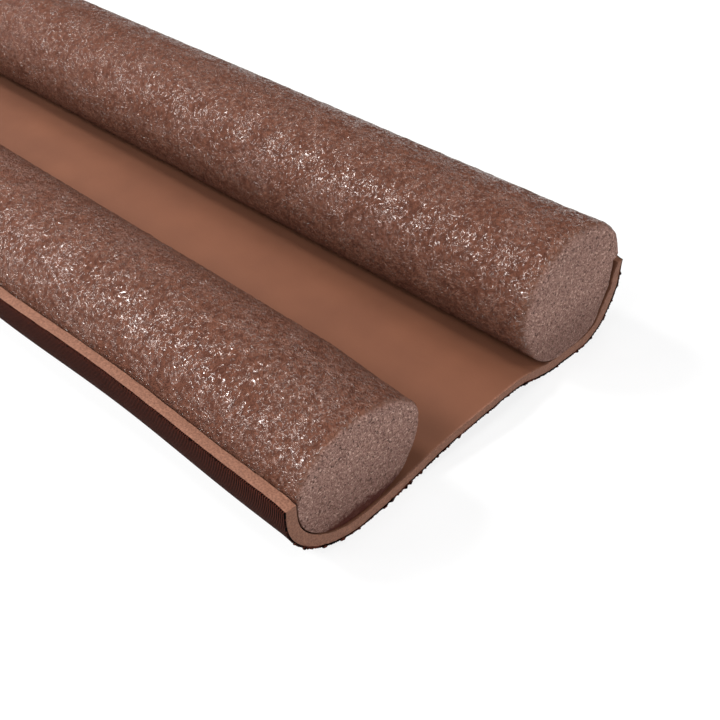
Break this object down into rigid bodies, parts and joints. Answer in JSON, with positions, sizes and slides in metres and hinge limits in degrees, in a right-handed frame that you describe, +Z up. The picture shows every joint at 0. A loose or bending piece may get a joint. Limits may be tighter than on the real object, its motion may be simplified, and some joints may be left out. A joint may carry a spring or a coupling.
{
  "type": "draught excluder",
  "caption": "Door draught excluder: foam rolls side by side on a sheet of foam-backed cloth that curls up round their outer sides, with a channel between them for the door.",
  "frame": {"origin": "centre of the bounding box's underside, on the surface that the excluder lies on", "axes": "+X along the length, +Y from the front roll to the back roll, +Z up, with the open channel on top"},
  "size_m": [0.931, 0.099, 0.0341],
  "materials": {
    "foam_backed_cloth": "matte tan-brown foam inside, dark ribbed cloth outside",
    "roll_foam": "crinkled semi-gloss foam skin, matte cut ends"
  },
  "bodies": {
    "root": {"cover_sheet": "foam_backed_cloth", "front_roll": "roll_foam", "back_roll": "roll_foam"}
  },
  "joints": []
}
